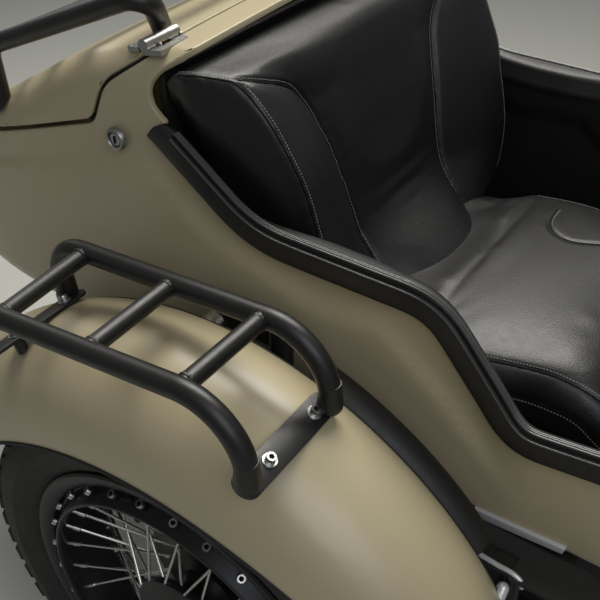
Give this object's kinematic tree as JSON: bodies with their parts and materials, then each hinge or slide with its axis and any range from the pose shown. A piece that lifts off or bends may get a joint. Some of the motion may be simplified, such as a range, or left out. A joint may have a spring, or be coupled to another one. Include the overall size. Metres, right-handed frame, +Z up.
{
  "type": "motorcycle sidecar",
  "caption": "Boat-shaped passenger sidecar with padded cockpit, hinged trunk lid, sprung wire wheel, mudguard and racks on a tube chassis with attachment eyes.",
  "frame": {"origin": "centre of the rear lower attachment eye", "axes": "+X forward along the vehicle and along the eye's bore, +Y left towards the motorcycle, +Z up"},
  "size_m": [1.922, 1.0303, 1.0867],
  "materials": {
    "sand_paint": "satin",
    "black_powder_coat": "satin",
    "black_leather": "satin",
    "black_trim": "satin",
    "black_plastic": "matte",
    "tyre_rubber": "matte",
    "mount_rubber": "matte",
    "stainless_steel": "polished",
    "chrome_plate": "polished",
    "cast_steel": "satin",
    "floor_rubber": "matte",
    "red_lens": "clear"
  },
  "bodies": {
    "root": {"axle": "stainless_steel", "body_mounts": "mount_rubber", "brake_caliper": "cast_steel", "bulkhead": "black_plastic", "cockpit_lining": "black_trim", "cross_tube_front": "black_powder_coat", "cross_tube_middle": "black_powder_coat", "cross_tube_rear": "black_powder_coat", "floor_mat": "floor_rubber", "floor_pan": "black_powder_coat", "frame_rail_left": "black_powder_coat", "frame_rail_right": "black_powder_coat", "guard_stay_front": "black_powder_coat", "guard_stay_rear": "black_powder_coat", "hinge_body_leaves": "chrome_plate", "inner_liner": "black_plastic", "lid_lock": "chrome_plate", "lower_front_arm": "black_powder_coat", "lower_rear_arm": "black_powder_coat", "mudguard": "sand_paint", "mudguard_rack": "black_powder_coat", "nose_tube": "black_powder_coat", "pivot_outrigger": "black_powder_coat", "rack_plates": "black_powder_coat", "rim_padding_left": "black_trim", "rim_padding_right": "black_trim", "scuttle_padding": "black_trim", "seat_back": "black_leather", "seat_base": "black_plastic", "seat_cushion": "black_leather", "shock_absorber": "stainless_steel", "shock_spring": "black_powder_coat", "step_bracket": "black_powder_coat", "step_plate": "floor_rubber", "suspension_tower": "black_powder_coat", "swingarm": "black_powder_coat", "tail_lamp_housing": "chrome_plate", "tail_lamp_lens": "red_lens", "tub": "sand_paint", "upper_front_strut": "black_powder_coat", "upper_rear_strut": "black_powder_coat"},
    "wheel": {"tyre": "tyre_rubber", "rim": "black_powder_coat", "hub": "black_powder_coat", "spokes": "stainless_steel", "brake_disc": "stainless_steel"},
    "lid": {"trunk_lid": "sand_paint", "hinge_lid_leaves": "chrome_plate", "lid_rack": "black_powder_coat"}
  },
  "joints": [
    {"name": "wheel_spin", "type": "hinge", "parent": "root", "child": "wheel", "pos_m": [0.12, -0.86, 0.04], "axis": [0, 1, 0], "continuous": true},
    {"name": "lid_hinge", "type": "hinge", "parent": "root", "child": "lid", "pos_m": [-0.036, -0.41, 0.7275], "axis": [0, 1, 0], "range_deg": [0, 75]}
  ]
}
